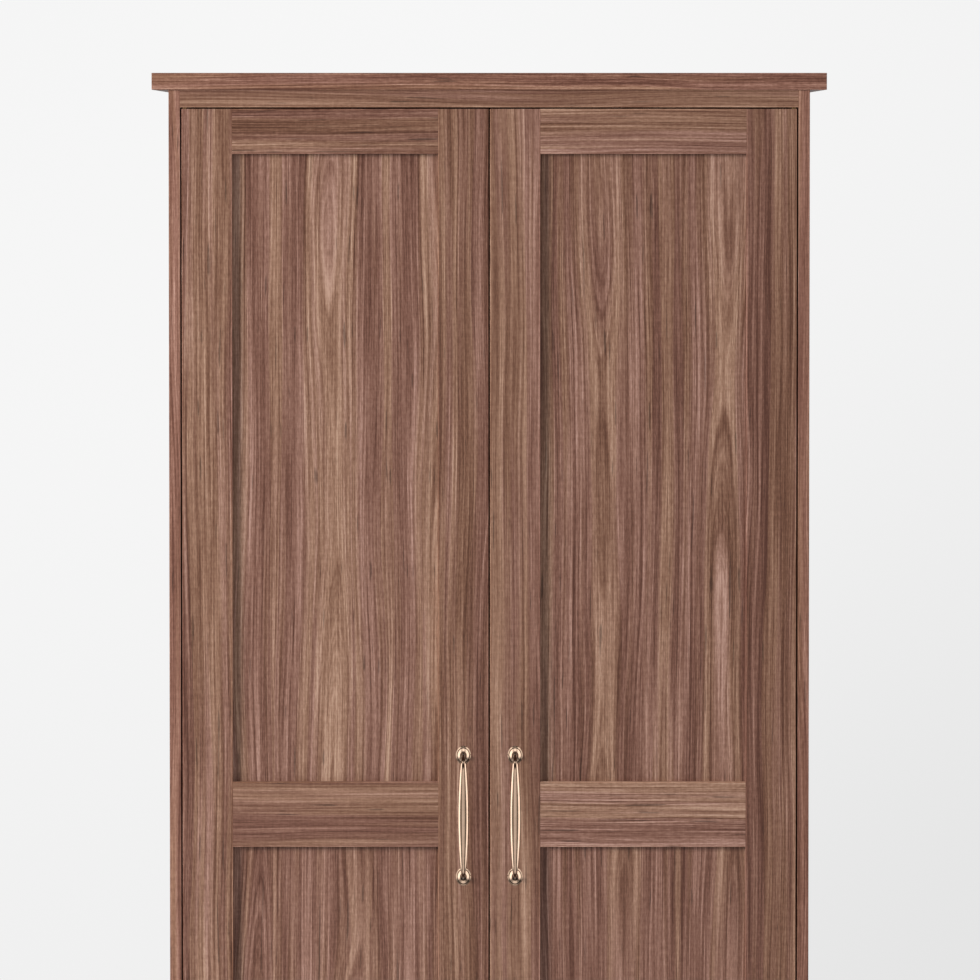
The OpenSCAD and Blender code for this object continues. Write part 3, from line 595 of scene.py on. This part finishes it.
def full_section(corners):
    """The whole outline of a section of the bar, with extra points along each facet."""
    half = []
    for start, end in zip(corners, corners[1:]):
        for step in range(SECTION_STEPS):
            t = step / SECTION_STEPS
            half.append(tuple(a + (b - a) * t for a, b in zip(start, end)))
    half.append(corners[-1])
    mirrored = [(-side, out, shade_amount) for side, out, shade_amount in reversed(half[1:-1])]
    return [*half, *mirrored]


def blend_in(value, low, high):
    part = min(max((value - low) / (high - low), 0), 1)
    return part * part * (3 - 2 * part)


def pull_ring(height, reach, slope, sections):
    """The bar's section at one place: sideways, outwards and upwards in mm, and its painted shade."""
    share = abs(height) / PULL_FOOT
    bar = blend_in(PULL_FOOT - abs(height), *BAR_START)
    bar_width = BAR_TIP_WIDTH + (BAR_WIDTH - BAR_TIP_WIDTH) * (1 - share ** 2)
    width = LEG_RADIUS + (bar_width - LEG_RADIUS) * bar
    thickness = LEG_RADIUS + (BAR_DEPTH - LEG_RADIUS) * blend_in(PULL_FOOT - abs(height), *DEPTH_BLEND)
    tip = 1 - blend_in(PULL_FOOT - height, *DARK_TIP)
    middle = blend_in(PULL_FOOT - abs(height), *TIP_BLEND)
    points = []
    for at_tip, at_middle in zip(*sections):
        # Painted shade and reflection: darker along the ridge near the upper foot, and on the legs
        if abs(at_middle[0]) < RIDGE_EDGE:
            at_tip = (at_tip[0], at_tip[1], max(at_tip[2], tip))
        side, out, shade_amount = (a + (b - a) * middle for a, b in zip(at_tip, at_middle))
        shade_amount = max(shade_amount * bar, LEG_PAINTED_SHADE * (1 - bar))
        length = math.hypot(side, out)
        side = (side / length) * (1 - bar) + side * bar
        out = (out / length) * (1 - bar) + out * bar
        points.append((side * width, reach + out * thickness * slope[0],
                       height + out * thickness * slope[1], shade_amount))
    return points


def pull_bar(name, centre, front):
    """Bow pull: two round legs that lean in and meet a long faceted bar."""
    upper = spline(PULL_LINE, LINE_STEPS)
    line = upper + [(-height, reach) for height, reach in reversed(upper[:-1])]
    sections = (full_section(TIP_SECTION), full_section(BAR_SECTION))
    build = bmesh.new()
    # Painted shade and reflection, stored on each corner of the bar
    painted_shade = build.verts.layers.float.new("painted_shade")
    rings = []
    for index, (height, reach) in enumerate(line):
        before = line[max(index - 1, 0)]
        after = line[min(index + 1, len(line) - 1)]
        down, out = before[0] - after[0], after[1] - before[1]
        size = math.hypot(down, out)
        slope = (down / size, out / size)
        ring = []
        for side, depth, up, shade_amount in pull_ring(height, reach, slope, sections):
            place = (centre.x + side * MM, front - depth * MM, centre.z + up * MM)
            corner = build.verts.new(place)
            corner[painted_shade] = shade_amount
            ring.append(corner)
        rings.append(ring)
    for first, second in zip(rings, rings[1:]):
        for index in range(len(first)):
            after = (index + 1) % len(first)
            build.faces.new((first[index], first[after], second[after], second[index]))
    build.faces.new(rings[0])
    build.faces.new(reversed(rings[-1]))
    return finish_mesh(name, build, math.radians(14))


def pull_rosettes(name, node, front):
    """The two oval rosettes of a pull: a ring round a dome."""
    low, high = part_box(node)
    middle = (low + high) / 2
    wide = (high.x - low.x) / 2
    tall = (high.z - low.z) / 2 - PULL_FOOT * MM
    height = front - low.y
    build = bmesh.new()
    # Painted shade and reflection on each rosette, darkest at its rim groove and the middle of its
    # dome
    painted_shade = build.verts.layers.float.new("painted_shade")
    for foot in (-PULL_FOOT * MM, PULL_FOOT * MM):
        rings = []
        for share, out, shade_amount in ROSETTE_SECTION:
            ring = []
            for index in range(ROSETTE_TURNS if share else 1):
                turn = 2 * math.pi * index / ROSETTE_TURNS
                corner = build.verts.new((middle.x + share * wide * math.cos(turn),
                                          front - out * height,
                                          middle.z + foot + share * tall * math.sin(turn)))
                corner[painted_shade] = shade_amount
                ring.append(corner)
            rings.append(ring)
        for first, second in zip(rings, rings[1:]):
            for index in range(ROSETTE_TURNS):
                after = (index + 1) % ROSETTE_TURNS
                corners = [first[index % len(first)], first[after % len(first)],
                           second[after % len(second)], second[index % len(second)]]
                build.faces.new(list(dict.fromkeys(corners)))
    return finish_mesh(name, build, math.radians(40))


def finish_mesh(name, build, sharp_angle):
    """Object of a bmesh, smooth but for edges sharper than sharp_angle."""
    bmesh.ops.recalc_face_normals(build, faces=build.faces)
    mesh = bpy.data.meshes.new(name)
    build.to_mesh(mesh)
    build.free()
    mesh.shade_smooth()
    mesh.set_sharp_from_angle(angle=sharp_angle)
    piece = bpy.data.objects.new(name, mesh)
    bpy.context.scene.collection.objects.link(piece)
    return piece


def finish_pulls():
    # The dark colour is painted shade and reflection on the pulls
    material = metal("pull_metal", linear(244, 209, 181), 0.12, 0.05, brush=(1, 1, 10),
                     painted_shade=linear(60, 42, 30))
    for side in ("left", "right"):
        low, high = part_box(side + "_pull")
        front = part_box(side + "_meeting_stile")[0].y
        bar = pull_bar(side + "_pull_bar", (low + high) / 2, front)
        rosettes = pull_rosettes(side + "_pull_domes", side + "_pull_rosettes", front)
        for piece, node in ((bar, side + "_pull"), (rosettes, side + "_pull_rosettes")):
            piece.data.materials.append(material)
            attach(piece, side + "_door")
            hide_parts(node)
            # A pull throws no shadow on its door
            piece.visible_shadow = False


# ---------------------------------------------------------------- stage, light and camera

FLOOR_RADIUS = 4.0
FLOOR_FADE = (1.4, 3.9)
FLOOR_PAPER = ((0.80, 0.80, 0.80, 1), (0.84, 0.84, 0.84, 1))


def make_floor():
    """Pale round floor that fades out at its rim."""
    build = bmesh.new()
    bmesh.ops.create_circle(build, cap_ends=True, segments=128, radius=FLOOR_RADIUS)
    floor = finish_mesh("floor", build, math.radians(30))
    material, graph, shader = new_material("floor_paper")
    where = graph.add("TexCoord").outputs["Object"]
    grain = graph.noise(graph.scale(where, (40.0, 40.0, 40.0)), detail=4.0)
    graph.feed(shader.inputs["Base Color"], graph.mix(grain, *FLOOR_PAPER))
    graph.feed(shader.inputs["Roughness"], graph.total(0.7, graph.swing(grain, 0.2)))
    distance = graph.add("VectorMath", {0: where}, operation="LENGTH").outputs["Value"]
    graph.feed(shader.inputs["Alpha"], graph.math("SUBTRACT", 1.0, graph.step(distance, *FLOOR_FADE)))
    floor.data.materials.append(material)
    floor.visible_glossy = False


# Backdrop: brightness in its middle, and how much it changes to the right, upwards, to the
# upper right, and towards its rim
BACKDROP = 0.864
BACKDROP_RIGHT = -0.028
BACKDROP_UP = 0.041
BACKDROP_CORNER = 0.020
BACKDROP_HUMP = 0.021
AMBIENT = (0.352, 0.338, 0.333, 1)
# Studio: brightness of its dark parts, and what each bright part adds
STUDIO_DARK = 0.14
STUDIO_BELOW = 0.20
STUDIO_FRONT = 0.46
STUDIO_SIDES = 1.4
STUDIO_OVERHEAD = 0.7
STUDIO_RIGHT = -0.10


def make_world():
    """Pale backdrop for the camera, weak light all round, and a studio for what reflects."""
    world = bpy.data.worlds.new("studio")
    bpy.context.scene.world = world
    world.use_nodes = True
    graph = Graph(world.node_tree)
    graph.tree.nodes.clear()
    x, _, z = graph.split(graph.add("TexCoord").outputs["Generated"])

    # Backdrop: a little darker to the right and at the foot
    right = graph.math("MULTIPLY", graph.step(x, -0.075, 0.075), 2.0)
    right = graph.math("SUBTRACT", right, 1.0)
    up = graph.math("MULTIPLY", graph.step(z, -0.12, 0.03), 2.0)
    up = graph.math("SUBTRACT", up, 1.0)
    hump = graph.math("SUBTRACT", 2.0, graph.math("ADD", graph.math("MULTIPLY", right, right),
                                                  graph.math("MULTIPLY", up, up)))
    backdrop = graph.total(
        BACKDROP,
        graph.math("MULTIPLY", right, BACKDROP_RIGHT),
        graph.math("MULTIPLY", up, BACKDROP_UP),
        graph.math("MULTIPLY", graph.math("MULTIPLY", right, up), BACKDROP_CORNER),
        graph.math("MULTIPLY", hump, BACKDROP_HUMP),
    )

    # Studio: bright at both sides and overhead, dim in front and below, and dark between
    side = graph.total(graph.math("ABSOLUTE", x),
                       graph.math("MULTIPLY", graph.math("MAXIMUM", z, 0.0), 0.3))
    level = graph.math("SUBTRACT", graph.step(z, -0.60, -0.10), graph.step(z, 0.74, 0.88))
    sides = graph.math("MULTIPLY", graph.step(side, 0.60, 0.80), level)
    front = graph.math("SUBTRACT", 1.0, graph.step(side, 0.25, 0.45))
    overhead = graph.math("SUBTRACT", graph.step(z, 0.45, 0.70), graph.step(z, 0.80, 0.90))
    below = graph.math("SUBTRACT", 1.0, graph.step(z, -0.75, -0.50))
    studio = graph.total(
        STUDIO_DARK,
        graph.math("MULTIPLY", below, STUDIO_BELOW),
        graph.math("MULTIPLY", front, STUDIO_FRONT),
        graph.math("MULTIPLY", sides, STUDIO_SIDES),
        graph.math("MULTIPLY", overhead, STUDIO_OVERHEAD),
        graph.math("MULTIPLY", x, STUDIO_RIGHT),
    )
    path = graph.add("LightPath").outputs
    strength = graph.mix(path["Is Camera Ray"], AMBIENT,
                         graph.combine(backdrop, backdrop, backdrop))
    strength = graph.mix(path["Is Glossy Ray"], strength, graph.combine(studio, studio, studio))
    background = graph.add("Background", {"Color": strength})
    graph.add("OutputWorld", {"Surface": background.outputs[0]})


def area_light(name, place, target, size, power):
    light = bpy.data.lights.new(name, "AREA")
    light.shape = "RECTANGLE"
    light.size, light.size_y = size
    light.energy = power
    lamp = bpy.data.objects.new(name, light)
    lamp.location = place
    lamp.rotation_euler = (Vector(target) - Vector(place)).to_track_quat("-Z", "Y").to_euler()
    lamp.visible_camera = False
    lamp.visible_glossy = False
    bpy.context.scene.collection.objects.link(lamp)


def polar(target, azimuth, elevation, distance):
    """Point seen from target at azimuth (0 is straight in front, + to the right), in degrees."""
    turn, rise = math.radians(azimuth), math.radians(elevation)
    way = Vector((math.sin(turn) * math.cos(rise), -math.cos(turn) * math.cos(rise),
                  math.sin(rise)))
    return Vector(target) + distance * way


# Each light: azimuth and elevation in degrees, distance and size in metres, and power in watts.
# All of them point at the door fronts, at LIGHTS_HEIGHT in metres
LIGHTS = {
    "key": (-58, 15, 7.0, (2.2, 2.4), 640),
    "fill": (62, 12, 8.0, (1.8, 2.6), 95),
    "back": (150, 35, 7.5, (3.0, 3.0), 260),
}
LIGHTS_HEIGHT = 1.4


def make_lights(middle):
    for name, (azimuth, elevation, distance, size, power) in LIGHTS.items():
        area_light(name, polar(middle, azimuth, elevation, distance), middle, size, power)


# Lens and sensor in mm, and the camera's place and target in metres
LENS = 280.2
SENSOR = 36.0
CAMERA_X = 0.001
CAMERA_HEIGHT = 1.927
CAMERA_DISTANCE = 10.0
TARGET_HEIGHT = 1.4734
VIEW_END = 100.0


def make_camera(front):
    """Long lens level with the upper part of the armoire, looking a little down."""
    camera = bpy.data.cameras.new("camera")
    camera.sensor_width = SENSOR
    camera.lens = LENS
    camera.clip_end = VIEW_END
    holder = bpy.data.objects.new("camera", camera)
    target = Vector((CAMERA_X, front, TARGET_HEIGHT))
    holder.location = (CAMERA_X, front - CAMERA_DISTANCE, CAMERA_HEIGHT)
    holder.rotation_euler = (target - holder.location).to_track_quat("-Z", "Y").to_euler()
    bpy.context.scene.collection.objects.link(holder)
    bpy.context.scene.camera = holder


front_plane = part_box("left_meeting_stile")[0].y
make_camera(front_plane)
make_world()
make_floor()
make_lights(Vector((0.0, front_plane, LIGHTS_HEIGHT)))
bpy.context.scene.view_settings.view_transform = "Standard"
finish_boards(BOARDS, CARCASS_SEED, CARCASS_EDGE)
finish_boards(DOOR_BOARDS, DOOR_SEED, DOOR_EDGE)
finish_hardware()
finish_pulls()
